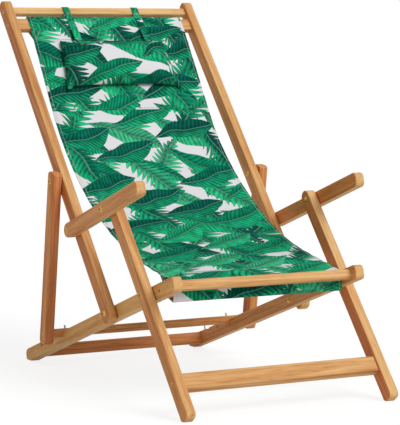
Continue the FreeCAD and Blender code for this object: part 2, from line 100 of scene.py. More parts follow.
@dataclass(frozen=True)
class Graph:
    """A tree of shader nodes, with short ways to add the usual ones."""

    tree: bpy.types.NodeTree

    def feed(self, node: bpy.types.Node, slots: dict[str | int, Source]) -> None:
        """Gives some of a node's inputs, by name or number, their values and links."""
        for key, value in slots.items():
            if isinstance(value, bpy.types.Node):
                value = value.outputs[0]
            if isinstance(value, bpy.types.NodeSocket):
                self.tree.links.new(value, node.inputs[key])
            else:
                node.inputs[key].default_value = value

    def add(self, kind: str, *inputs: Source, slots: dict[str | int, Source] | None = None,
            **settings: object) -> bpy.types.Node:
        """Adds a node with its settings, values and links.

        Args:
            kind: the node's type name.
            inputs: what each input takes, in order.
            slots: what some inputs take, by name or number.
            settings: the node's own properties.

        Returns:
            The new node.
        """
        made = self.tree.nodes.new(kind)
        for name, value in settings.items():
            setattr(made, name, value)
        self.feed(made, {**dict(enumerate(inputs)), **(slots or {})})
        return made

    def math(self, operation: str, *inputs: Source) -> bpy.types.Node:
        """Adds an operation on one to three numbers."""
        return self.add("ShaderNodeMath", *inputs, operation=operation)

    def vector(self, operation: str, *inputs: Source, **slots: Source) -> bpy.types.Node:
        """Adds an operation on vectors."""
        return self.add("ShaderNodeVectorMath", *inputs, slots=slots, operation=operation)

    def remap(self, value: Source, *span: float) -> bpy.types.Node:
        """Adds a turn of one range of numbers, held at its ends, into another."""
        return self.add("ShaderNodeMapRange", value, *span)

    def noise(self, place: Source, size: float, detail: float, distortion: float = 0.0) -> bpy.types.Node:
        """Adds noise with patches of one size, in the units of its place."""
        slots = {"Vector": place, "Scale": 1/size, "Detail": detail, "Distortion": distortion}
        return self.add("ShaderNodeTexNoise", slots=slots)

    def mix(self, share: Source, first: Source, second: Source, **settings: object) -> bpy.types.NodeSocket:
        """Adds a blend of two colours, and gives its colour."""
        slots = {0: share, 6: first, 7: second}
        return self.add("ShaderNodeMix", slots=slots, data_type="RGBA", **settings).outputs[2]

    def bump(self, height: Source, distance: float, strength: float) -> bpy.types.Node:
        """Adds the relief of a height."""
        slots = {"Height": height, "Distance": distance, "Strength": strength}
        return self.add("ShaderNodeBump", slots=slots)

    def ramp(self, value: Source, stops: Sequence[tuple[float, str]]) -> bpy.types.Node:
        """Adds colours by a number from 0 to 1: some places, each with an sRGB hex colour."""
        made = self.add("ShaderNodeValToRGB", value)
        elements = made.color_ramp.elements
        for index, (place, colour) in enumerate(stops):
            element = elements[index] if index < len(elements) else elements.new(place)
            element.position = place
            element.color = linear(colour)
        return made


def new_material(name: str) -> tuple[bpy.types.Material, Graph, bpy.types.Node]:
    """Makes an empty material.

    Args:
        name: the material's name.

    Returns:
        The material, its nodes and its surface shader.
    """
    material = bpy.data.materials.new(name)
    material.use_nodes = True
    return material, Graph(material.node_tree), material.node_tree.nodes["Principled BSDF"]


def new_piece(name: str, places: Sequence, faces: Sequence, flat: Sequence | None = None) -> bpy.types.Object:
    """Makes a smooth mesh object.

    Args:
        name: the piece's name.
        places: its vertices, in metres.
        faces: its faces, as vertex numbers.
        flat: each vertex's place on the uncut cloth, in metres, for a piece of cloth.

    Returns:
        The object, in the scene.
    """
    mesh = bpy.data.meshes.new(name)
    mesh.from_pydata([tuple(place) for place in places], [], [tuple(face) for face in faces])
    if flat is not None:
        layer = mesh.uv_layers.new(name=UV_NAME)
        for loop in mesh.loops:
            layer.data[loop.index].uv = flat[loop.vertex_index]
    mesh.shade_smooth()
    mesh.update()
    piece = bpy.data.objects.new(name, mesh)
    bpy.context.scene.collection.objects.link(piece)
    return piece


@dataclass(frozen=True)
class BoardTone:
    """How one plank differs from the rest: its depth of colour, its tints of painted shade, and whether it
    has notches.
    """

    depth: float
    # Painted shade: a tint on the plank's other faces, redder on the parts that stand in shade, and a redder
    # tint on its faces across the chair, which are seen in shade
    edges: str = "#FFFFFF"
    faces: str = "#FBDFCD"
    notched: bool = False


@dataclass(frozen=True)
class OiledHardwood:
    """Planed tropical hardwood with an oiled finish: warm tan, straight grain, a satin shine."""

    pale: str = "#E2B67A"
    middle: str = "#CF985C"
    deep: str = "#B3733A"
    pore: str = "#824720"
    end: str = "#D3A56A"
    # The redder, darker tone of painted shade inside the notches
    cut: str = "#C4673F"
    tone_places: tuple[float, float, float] = (0.42, 0.64, 0.88)
    figure_mm: float = 11.0
    fibre_mm: float = 2.6
    fibre_share: float = 0.35
    pore_mm: float = 1.5
    pore_tones: Span = (0.60, 0.74, 0.0, 0.55)
    pore_depth: float = 0.8
    stretch: float = 26.0
    end_slope: Span = (0.75, 0.95, 0.0, 0.6)
    # How square a face must be to the chair's width to take the redder tint of painted shade
    side_shade_slope: Span = (0.45, 0.9, 0.0, 1.0)
    notch_slope: Span = (0.12, 0.30, 0.0, 0.85)
    notch_run: tuple[float, float] = (0.10, 0.37)
    notch_fade: float = 0.01
    roughness: float = 0.56
    roughness_by: tuple[float, float] = (-0.06, 0.10)
    relief_mm: float = 0.12
    relief: float = 0.5
    ior: float = 1.5
    specular: float = 0.28

    def make(self, name: str, axis: Vector, seed: float, board: BoardTone) -> bpy.types.Material:
        """Makes the wood of one plank, with its grain along the plank.

        Args:
            name: the plank's name.
            axis: the way the grain runs.
            seed: a number that gives each plank its own piece of the tree.
            board: how the plank differs from the rest.

        Returns:
            The material.
        """
        material, graph, shader = new_material(f"oiled_hardwood_{name}")
        place = graph.add("ShaderNodeTexCoord")
        side = axis.orthogonal().normalized()
        parts = [graph.vector("DOT_PRODUCT", place.outputs["Object"], tuple(way))
                 for way in (axis, side, axis.cross(side))]
        values = [part.outputs["Value"] for part in parts]
        along = graph.math("MULTIPLY_ADD", values[0], 1/self.stretch, seed)
        grain = graph.add("ShaderNodeCombineXYZ", along, values[1], values[2])

        # Broad bands of the figure, then fibres, then the dark dashes of open pores
        figure = graph.noise(grain, self.figure_mm*MM, 2.0, 0.6)
        fibre = graph.noise(grain, self.fibre_mm*MM, 2.0)
        pore = graph.noise(grain, self.pore_mm*MM, 1.0)
        blend = graph.math("MULTIPLY_ADD", fibre, self.fibre_share, figure)
        tones = zip(self.tone_places, (self.deep, self.middle, self.pale))
        tone = graph.ramp(blend, [(level + board.depth, colour) for level, colour in tones])
        dashes = graph.remap(pore, *self.pore_tones)
        wood = graph.mix(dashes, tone, linear(self.pore))

        # Sanded end grain shows little figure
        facing = graph.vector("DOT_PRODUCT", place.outputs["Normal"], tuple(axis))
        square = graph.math("ABSOLUTE", facing.outputs["Value"])
        at_end = graph.remap(square, *self.end_slope)
        ended = graph.mix(at_end, wood, linear(self.end))

        # Painted shade: the faces inside the notches get a redder, darker tone
        if board.notched:
            reach = graph.add("ShaderNodeSeparateXYZ", place.outputs["Object"]).outputs["Y"]
            first, last = self.notch_run
            masks = [graph.remap(square, *self.notch_slope),
                     graph.remap(reach, first, first + self.notch_fade, 0.0, 1.0),
                     graph.remap(reach, last, last + self.notch_fade, 1.0, 0.0)]
            inside = graph.math("MULTIPLY", masks[0], masks[1])
            notch_shade_mask = graph.math("MULTIPLY", inside, masks[2])
            ended = graph.mix(notch_shade_mask, ended, linear(self.cut))

        # Painted shade: the faces across the chair, which are seen in shade, get a redder tint, and the other
        # faces get a tint of their own, redder on the parts that stand in shade
        sideways = graph.vector("DOT_PRODUCT", place.outputs["Normal"], (1.0, 0.0, 0.0))
        broad = graph.math("ABSOLUTE", sideways.outputs["Value"])
        turned = graph.remap(broad, *self.side_shade_slope)
        side_shade_tint = graph.mix(turned, linear(board.edges), linear(board.faces))
        toned = graph.mix(1.0, ended, side_shade_tint, blend_type="MULTIPLY")

        rough = graph.remap(fibre, *NOISE_SPAN, *(self.roughness + by for by in self.roughness_by))
        height = graph.math("MULTIPLY_ADD", dashes, -self.pore_depth, fibre)
        bump = graph.bump(height, self.relief_mm*MM, self.relief)
        graph.feed(shader, {"Base Color": toned, "Roughness": rough, "Normal": bump, "IOR": self.ior,
                            "Specular IOR Level": self.specular})
        return material


@dataclass(frozen=True)
class PlatedMetal:
    """Turned hardware with a satin plating: a metal colour, faint lathe marks and a soft shine."""

    name: str
    colour: str
    shadow: str
    roughness: float
    patch_mm: float = 5.0
    mark_mm: float = 0.7
    roughness_by: tuple[float, float] = (-0.05, 0.12)
    relief_mm: float = 0.03
    relief: float = 0.3

    def make(self) -> bpy.types.Material:
        """Makes the plated metal.

        Returns:
            The material.
        """
        material, graph, shader = new_material(self.name)
        place = graph.add("ShaderNodeTexCoord").outputs["Object"]
        patch = graph.noise(place, self.patch_mm*MM, 3.0)
        mark = graph.noise(place, self.mark_mm*MM, 2.0)
        tone = graph.ramp(patch, [(0.3, self.shadow), (0.6, self.colour)])
        rough = graph.remap(mark, *NOISE_SPAN, *(self.roughness + by for by in self.roughness_by))
        bump = graph.bump(mark, self.relief_mm*MM, self.relief)
        graph.feed(shader, {"Base Color": tone, "Roughness": rough, "Normal": bump, "Metallic": 1.0})
        return material


class Motif(Enum):
    """The leaves of the print, by how deeply their blades are cut into leaflets."""

    LANCE_LEAF = 0.0
    PALM_FROND = 1.0


@dataclass(frozen=True)
class LeafLayer:
    """One layer of the print: leaves of one kind, scattered in rows at one angle."""

    motif: Motif
    angle: float
    cell_mm: tuple[float, float]
    share: float
    seed: float


@dataclass(frozen=True)
class LeafShape:
    """The outline of the print's leaves, as shares of half their cell's length and height."""

    reach: float = 1.04
    lean: float = 0.28
    bend: float = 0.40
    bow: float = 0.35
    taper: float = 0.30
    fullness: tuple[float, float] = (0.60, 0.90)
    vein_count: float = 8.5
    vein_slant: float = 2.6
    cut_power: float = 2.3
    cut_edge: float = 0.08
    blade_edge: tuple[float, float] = (0.96, 1.02)


@dataclass(frozen=True)
class LeafPaint:
    """The brushwork of the print's leaves: from where to where each tone goes, and how strong it is there."""

    wash: Span = (0.35, 0.65, 0.45, 1.0)
    dark_half: Span = (-0.36, 0.0, 0.32, 0.90)
    dark_end: Span = (0.0, 0.16, 1.0, 0.0)
    veins: Span = (0.0, 1.0, 0.50, 1.26)
    brush: Span = (0.32, 0.66, 0.62, 1.26)
    sunny_half: Span = (0.05, 0.36, 0.0, 0.70)
    midrib: Span = (0.012, 0.05, 0.36, 0.0)


@dataclass(frozen=True)
class PrintedCanvas:
    """Plain-woven polyester canvas, dyed by transfer: matt, with crisp green leaves on off-white."""

    ground: str = "#DFDEE1"
    greens: tuple[tuple[float, str], ...] = ((0.0, "#075545"), (0.25, "#087C5D"), (0.5, "#0C9668"),
                                             (0.8, "#17A873"), (1.0, "#4FC490"))
    shade: str = "#0B3640"
    rib: str = "#7CCB9C"
    highlight: str = "#2CC486"
    # The real threads are about 0.6 mm apart, too fine to show, so they are drawn coarser
    thread_mm: float = 1.7
    thread_relief_mm: float = 0.12
    thread_relief: float = 0.4
    # Painted light on the weave's high threads and painted shade in its dips
    weave_painted_light: Span = (-1.0, 1.0, 0.94, 1.03)
    thread_roughness: Span = (-1.0, 1.0, 0.92, 0.78)
    sheen: float = 0.02
    specular: float = 0.03
    leaf: LeafShape = LeafShape()
    paint: LeafPaint = LeafPaint()
    wash_mm: float = 24.0
    wander_mm: float = 110.0
    wander_by_mm: float = 42.0
    reverse_fade: float = 0.6
    layers: tuple[LeafLayer, ...] = (
        LeafLayer(Motif.PALM_FROND, 0.95, (290.0, 132.0), 1.0, 3.0),
        LeafLayer(Motif.LANCE_LEAF, -0.55, (215.0, 84.0), 0.97, 11.0),
        LeafLayer(Motif.PALM_FROND, -1.05, (260.0, 120.0), 0.84, 23.0),
        LeafLayer(Motif.LANCE_LEAF, 0.35, (205.0, 80.0), 0.84, 37.0),
    )

    def leaf_group(self) -> bpy.types.NodeTree:
        """Makes the node group that lays one layer of leaves over what is under it.

        Returns:
            The group, with the place in millimetres and the layer's settings as inputs.
        """
        leaf, paint = self.leaf, self.paint
        tree = bpy.data.node_groups.new("leaf_layer", "ShaderNodeTree")
        for name, kind in (("Place", "NodeSocketVector"), ("Angle", "NodeSocketFloat"),
                           ("Cell", "NodeSocketVector"), ("Seed", "NodeSocketFloat"),
                           ("Share", "NodeSocketFloat"), ("Cut", "NodeSocketFloat"),
                           ("Under", "NodeSocketColor")):
            tree.interface.new_socket(name, in_out="INPUT", socket_type=kind)
        tree.interface.new_socket("Color", in_out="OUTPUT", socket_type="NodeSocketColor")
        graph = Graph(tree)
        given = graph.add("NodeGroupInput").outputs

        # Rows of cells, each row moved along by its own amount, with one leaf in a cell
        turned = graph.add("ShaderNodeVectorRotate", rotation_type="Z_AXIS",
                           slots={"Vector": given["Place"], "Angle": given["Angle"]})
        cells = graph.vector("DIVIDE", turned, given["Cell"])
        split = graph.add("ShaderNodeSeparateXYZ", cells).outputs
        row = graph.math("FLOOR", split["Y"])
        moved = graph.math("MULTIPLY_ADD", row, EVEN_SPREAD, given["Seed"])
        shift = graph.math("FRACT", moved)
        run = graph.math("ADD", split["X"], shift)
        column = graph.math("FLOOR", run)
        cell = graph.add("ShaderNodeCombineXYZ", column, row, given["Seed"])
        chance = graph.add("ShaderNodeTexWhiteNoise", cell, noise_dimensions="3D")
        draw = graph.add("ShaderNodeSeparateColor", chance.outputs["Color"]).outputs

        # Places along the leaf from -1 to 1, and across it, with its own lean and bend
        inside = graph.math("FRACT", run)
        length = graph.remap(inside, 0.0, 1.0, -leaf.reach, leaf.reach)
        high = graph.math("FRACT", split["Y"])
        height = graph.remap(high, 0.0, 1.0, -1.0, 1.0)
        lean = graph.remap(draw[0], 0.0, 1.0, -leaf.lean, leaf.lean)
        leaned = graph.math("MULTIPLY_ADD", length, lean, height)
        square = graph.math("MULTIPLY", length, length)
        bend = graph.remap(draw[1], 0.0, 1.0, -leaf.bend, leaf.bend)
        bow = graph.math("ADD", square, -leaf.bow)
        across = graph.math("MULTIPLY_ADD", bow, bend, leaned)
        distance = graph.math("ABSOLUTE", across)

        # The blade's half width, and the distance from the midrib as a share of it
        round_end = graph.math("SUBTRACT", 1.0, square)
        taper = graph.math("MULTIPLY_ADD", length, leaf.taper, 1.0)
        blade = graph.math("MULTIPLY", round_end, taper)
        fullness = graph.remap(draw[1], 0.0, 1.0, *leaf.fullness)
        sized = graph.math("MULTIPLY", blade, fullness)
        limited = graph.math("MAXIMUM", sized, 0.001)
        share = graph.math("DIVIDE", distance, limited)

        # Side veins run to the tip, and on a frond the gaps between leaflets follow them
        slant = graph.math("MULTIPLY", distance, -leaf.vein_slant)
        veins = graph.math("MULTIPLY_ADD", length, leaf.vein_count, slant)
        rise = graph.math("PINGPONG", veins, 0.5)
        stripe = graph.math("MULTIPLY", rise, 2.0)
        wide = graph.math("POWER", share, leaf.cut_power)
        gap = graph.math("MULTIPLY", wide, given["Cut"])
        spare = graph.math("SUBTRACT", stripe, gap)
        leaflet = graph.remap(spare, -leaf.cut_edge, 0.0, 0.0, 1.0)
        edge = graph.remap(share, *leaf.blade_edge, 1.0, 0.0)
        shown = graph.math("LESS_THAN", draw[2], given["Share"])
        cut_out = graph.math("MULTIPLY", edge, leaflet)
        mask = graph.math("MULTIPLY", cut_out, shown)

        # Painted tones: one green a leaf, washed unevenly, dark beside the midrib and along one half
        tone = graph.ramp(chance.outputs["Value"], self.greens)
        wash = graph.noise(turned, self.wash_mm, 2.0)
        washed = graph.remap(wash, *paint.wash)
        beside = graph.remap(across, *paint.dark_half)
        fades = graph.remap(across, *paint.dark_end)
        dark = graph.math("MULTIPLY", beside, fades)
        dark_half = graph.math("MULTIPLY", dark, washed)
        shaded = graph.mix(dark_half, tone, linear(self.shade))
        vein = graph.remap(stripe, *paint.veins)
        brushed = graph.remap(wash, *paint.brush)
        light = graph.math("MULTIPLY", vein, brushed)
        veined = graph.vector("SCALE", shaded, Scale=light)
        sunny_half = graph.remap(across, *paint.sunny_half)
        glint = graph.math("MULTIPLY", sunny_half, stripe)
        washed_glint = graph.math("MULTIPLY", glint, washed)
        sunny = graph.mix(washed_glint, veined, linear(self.highlight))
        near_rib = graph.remap(distance, *paint.midrib)
        ribbed = graph.mix(near_rib, sunny, linear(self.rib))
        graph.add("NodeGroupOutput", graph.mix(mask, given["Under"], ribbed))
        return tree

    def make(self, name: str, group: bpy.types.NodeTree, faded: bool = False) -> bpy.types.Material:
        """Makes the cloth's printed face, or its reverse, where the dye only shows through.

        Args:
            name: the material's name.
            group: the node group of one leaf layer.
            faded: whether this is the reverse.

        Returns:
            The material.
        """
        material, graph, shader = new_material(name)
        uv = graph.add("ShaderNodeUVMap", uv_map=UV_NAME)
        place = graph.vector("SCALE", uv, Scale=1/MM)
        wander = graph.noise(place, self.wander_mm, 1.0)
        drift = graph.vector("ADD", wander.outputs["Color"], (-0.5, -0.5, -0.5))
        bent = graph.vector("MULTIPLY_ADD", drift, (self.wander_by_mm, self.wander_by_mm, 0.0), place)
        colour = linear(self.ground)
        for layer in self.layers:
            values = {"Place": bent, "Angle": layer.angle, "Cell": (*layer.cell_mm, 1.0), "Seed": layer.seed,
                      "Share": layer.share, "Cut": layer.motif.value, "Under": colour}
            colour = graph.add("ShaderNodeGroup", node_tree=group, slots=values)
        if faded:
            colour = graph.mix(self.reverse_fade, colour, linear(self.ground))

        # Plain weave: threads rise and dip in turn, and the high ones are a little lighter: painted light on
        # the high threads and painted shade in the dips
        turns = graph.vector("SCALE", place, Scale=math.pi/self.thread_mm)
        warp, weft, _ = graph.add("ShaderNodeSeparateXYZ", turns).outputs
        waves = [graph.math("SINE", value) for value in (warp, weft)]
        weave = graph.math("MULTIPLY", waves[0], waves[1])
        light = graph.remap(weave, *self.weave_painted_light)
        lit = graph.vector("SCALE", colour, Scale=light)
        rough = graph.remap(weave, *self.thread_roughness)
        bump = graph.bump(weave, self.thread_relief_mm*MM, self.thread_relief)
        graph.feed(shader, {"Base Color": lit, "Roughness": rough, "Normal": bump, "Sheen Weight": self.sheen,
                            "Sheen Tint": linear(self.rib), "Specular IOR Level": self.specular})
        return material


@dataclass(frozen=True)
class SewingThread:
    """Twisted polyester thread: off-white or dyed, with a fine slant of the twist."""

    name: str = "twisted_polyester_thread"
    colour: str = "#D9E2DB"
    shadow: str = "#A9B8AC"
    twist_mm: float = 0.8
    roughness: tuple[float, float] = (0.55, 0.75)

    def make(self) -> bpy.types.Material:
        """Makes the thread.

        Returns:
            The material.
        """
        material, graph, shader = new_material(self.name)
        place = graph.add("ShaderNodeTexCoord").outputs["Object"]
        twist = graph.noise(place, self.twist_mm*MM, 2.0)
        tone = graph.ramp(twist, [(0.3, self.shadow), (0.6, self.colour)])
        rough = graph.remap(twist, *NOISE_SPAN, *self.roughness)
        graph.feed(shader, {"Base Color": tone, "Roughness": rough})
        return material


def unit(angle: float) -> Flat:
    """The direction at an angle in degrees in the side view."""
    return np.array([math.cos(math.radians(angle)), math.sin(math.radians(angle))])


def leftward(way: Flat) -> Flat:
    """A direction turned a quarter to the left."""
    return np.array([-way[1], way[0]])


def heading(way: Flat) -> float:
    """The angle of a direction, in degrees."""
    return math.degrees(math.atan2(way[1], way[0]))


def side_view(place: Sequence[float]) -> Flat:
    """Where a place in the row frame is in the side view."""
    return np.array([-place[1], place[2]])


def in_space(x: float, place: Flat) -> np.ndarray:
    """A place of the side view put at x across the chair."""
    return np.array([x, -place[0], place[1]])


def tilt(first: Flat, second: Flat, radius: float) -> float:
    """How far a belt's straight run turns from the line between a point and a corner's centre."""
    return math.degrees(math.asin(radius/np.linalg.norm(second - first)))


def belt(corners: Sequence[Flat], radius: float, start: float, end: float) -> list[Flat]:
    """Points of a belt that runs clockwise round some corners.

    Args:
        corners: the corners' centres, in the belt's order.
        radius: the belt's distance from them.
        start: the belt's heading before the first corner, in degrees.
        end: its heading after the last one.

    Returns:
        The points round each corner in turn.
    """
    headings = [start, *(heading(second - first) for first, second in zip(corners, corners[1:])), end]
    points = []
    for corner, before, after in zip(corners, headings, headings[1:]):
        turn = (before - after + 1e-6) % 360
        steps = max(1, math.ceil(turn/ARC_STEP))
        points += [corner + radius*unit(before - turn*step/steps + 90) for step in range(steps + 1)]
    return points


def stations(points: Sequence[Flat], spacing: float) -> np.ndarray:
    """Adds points on the long runs of a path and drops points that repeat.

    Args:
        points: the path.
        spacing: the longest step that is left, in metres.

    Returns:
        The path's points in order.
    """
    path = [points[0]]
    for point in points[1:]:
        first = path[-1]
        length = np.linalg.norm(point - first)
        if length < 1e-6:
            continue
        steps = math.ceil(length/spacing)
        path += [first + (point - first)*step/steps for step in range(1, steps + 1)]
    return np.array(path)


@dataclass(frozen=True)
class Bar:
    """A rung that cloth goes round, seen from the side."""

    node: str
    angle: float
    half_along: float
    half_across: float

    @cached_property
    def middle(self) -> Flat:
        """The rung's middle in the side view."""
        low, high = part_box(self.node)
        return side_view((low + high)/2)

    def corner(self, along: int, across: int) -> Flat:
        """The centre of one of the rung's rounded corners.

        Args:
            along: 1 or -1, with the rung's angle or against it.
            across: 1 for the side that faces the sitter, -1 for the other.

        Returns:
            The centre in the side view.
        """
        way = unit(self.angle)
        return self.middle + along*self.half_along*way - across*self.half_across*leftward(way)


@dataclass
class ClothStrip:
    """A strip of cloth that follows a path in the side view, as wide all along."""

    path: np.ndarray
    middle: float
    half_width: float
    thickness: float
    hem: float = 0.0
    hem_thickness: float = 0.0
    groove: float = 0.0
    groove_depth: float = 0.0
    groove_half: float = 1.6*MM
    edge: float = 0.6*MM
    edge_share: float = 0.4
    tolerance: float = 0.3*MM
    slide: float = 0.0
    slide_fade: float = 0.45
    cut_at: tuple[float, float] = (0.0, 0.0)
    column: float = 10*MM
    ways: np.ndarray = field(init=False)
    run: np.ndarray = field(init=False)

    def __post_init__(self) -> None:
        """Works out each point's outward direction and distance along the path."""
        steps = np.diff(self.path, axis=0)
        lengths = np.linalg.norm(steps, axis=1)
        sides = np.stack([-steps[:, 1], steps[:, 0]], axis=1)/lengths[:, None]
        ways = np.vstack([sides[:1], sides[:-1] + sides[1:], sides[-1:]])
        self.ways = ways/np.linalg.norm(ways, axis=1)[:, None]
        self.run = np.concatenate([[0.0], np.cumsum(lengths)])

    def columns(self) -> list[float]:
        """The places across the strip, closer at the hems.

        Returns:
            The distances from the strip's middle line.
        """
        half = self.half_width
        near = [0.0, self.edge]
        if self.hem:
            near += [self.groove - self.groove_half, self.groove, self.groove + self.groove_half]
            near += [self.hem - self.edge, self.hem + self.edge]
        inner = half - near[-1]
        count = max(2, round(2*inner/self.column))
        left = [-half + inset for inset in near]
        field_columns = [-inner + 2*inner*index/count for index in range(1, count)]
        return left + field_columns + [-place for place in left[::-1]]

    def level(self, x: float, outer: bool) -> float:
        """How far the cloth's face is from its middle surface at x.

        Args:
            x: the distance from the strip's middle line.
            outer: whether it is the face that shows.

        Returns:
            The level, positive outwards.
        """
        inset = self.half_width - abs(x)
        level = self.thickness/2
        if inset < self.tolerance:
            level *= self.edge_share
        if self.hem and inset < self.hem:
            level += 0.0 if outer else self.hem_thickness
            level -= self.groove_depth if abs(inset - self.groove) < self.tolerance else 0.0
        return level if outer else -level

    def at(self, index: int, x: float, level: float) -> np.ndarray:
        """A place on the strip.

        Args:
            index: the number of the path's point.
            x: the distance from the strip's middle line.
            level: the distance outwards from the path.

        Returns:
            The place in the row frame.
        """
        slid = self.slide*max(0.0, 1 - self.run[index]/self.slide_fade)
        return in_space(self.middle + slid + x, self.path[index] + self.ways[index]*level)

    def build(self, name: str, wave: Wave | None = None) -> bpy.types.Object:
        """Makes the strip as a closed thin mesh, its outer face first.

        Args:
            name: the piece's name.
            wave: how far the cloth stands out at a distance across and along it.

        Returns:
            The object, with face material 0 outside and 1 inside.
        """
        across = self.columns()
        ring = [(x, self.level(x, True)) for x in across] + [(x, self.level(x, False)) for x in across[::-1]]
        count = len(ring)
        places = []
        flat = []
        for index, run in enumerate(self.run):
            for x, level in ring:
                raised = wave(x, run) if wave else 0.0
                places.append(self.at(index, x, level + raised))
                flat.append((self.middle + x + self.cut_at[0], run + self.cut_at[1]))
        faces = []
        for row in range(len(self.run) - 1):
            start = row*count
            for index in range(count):
                following = start + (index + 1) % count
                faces.append((start + index, start + count + index, count + following, following))
        half = count//2
        last = (len(self.run) - 1)*count
        for index in range(half - 1):
            low = (index, index + 1, count - 2 - index, count - 1 - index)
            faces.append(low)
            faces.append(tuple(last + corner for corner in low[::-1]))
        piece = new_piece(name, places, faces, flat)
        for face in piece.data.polygons[:(len(self.run) - 1)*count]:
            face.material_index = int(half <= face.index % count < count - 1)
        return piece


@dataclass(frozen=True)
class Stitching:
    """A lockstitch seam: a row of short raised threads."""

    pitch: float = 6*MM
    length: float = 4.4*MM
    radius: float = 0.55*MM
    sides: int = 6
    profile: tuple[tuple[float, float, float], ...] = ((-0.5, 0.3, -0.5), (-0.36, 0.9, 0.4), (0.0, 1.0, 0.7),
                                                       (0.36, 0.9, 0.4), (0.5, 0.3, -0.5))

    def sew(self, name: str, seams: Sequence[Seam]) -> bpy.types.Object:
        """Makes all the stitches of some seams as one piece.

        Args:
            name: the piece's name.
            seams: the seams.

        Returns:
            The object.
        """
        along, width, lift = np.array(self.profile).T
        turns = 2*math.pi*np.arange(self.sides)/self.sides
        rings = len(self.profile)
        places = []
        for points, ways in seams:
            run = np.concatenate([[0.0], np.cumsum(np.linalg.norm(np.diff(points, axis=0), axis=1))])
            middles = np.arange(self.pitch/2, run[-1], self.pitch)
            here = np.clip(middles[:, None] + along*self.length, 0.0, run[-1])
            place, out = (np.stack([np.interp(here, run, column) for column in table.T], axis=-1)
                          for table in (points, ways))
            index = np.clip(np.searchsorted(run, here, side="right"), 1, len(run) - 1)
            side = np.cross(out, points[index] - points[index - 1])
            side /= np.linalg.norm(side, axis=-1, keepdims=True)
            out /= np.linalg.norm(out, axis=-1, keepdims=True)
            spokes = np.cos(turns)[:, None]*side[..., None, :] + np.sin(turns)[:, None]*out[..., None, :]
            centres = place + out*(lift*self.radius)[:, None]
            places.append((centres[..., None, :] + spokes*(width*self.radius)[:, None, None]).reshape(-1, 3))
        places = np.concatenate(places)
        one = [(ring*self.sides + turn, ring*self.sides + (turn + 1) % self.sides,
                (ring + 1)*self.sides + (turn + 1) % self.sides, (ring + 1)*self.sides + turn)
               for ring in range(rings - 1) for turn in range(self.sides)]
        last = (rings - 1)*self.sides
        one += [tuple(range(self.sides))[::-1], tuple(last + turn for turn in range(self.sides))]
        faces = [tuple(start + corner for corner in face)
                 for start in range(0, len(places), rings*self.sides) for face in one]
        return new_piece(name, places, faces)


@dataclass(frozen=True)
class Ripple:
    """A train of small waves in cloth: its height in millimetres, and its turns across and along it."""

    height: float
    across: float
    along: float
    phase: float

    def at(self, x: float, run: float, shift: float = 0.0) -> float:
        """The height of the waves at a place, with their phase moved by a shift."""
        return self.height*math.sin(x*self.across + run*self.along + self.phase + shift)


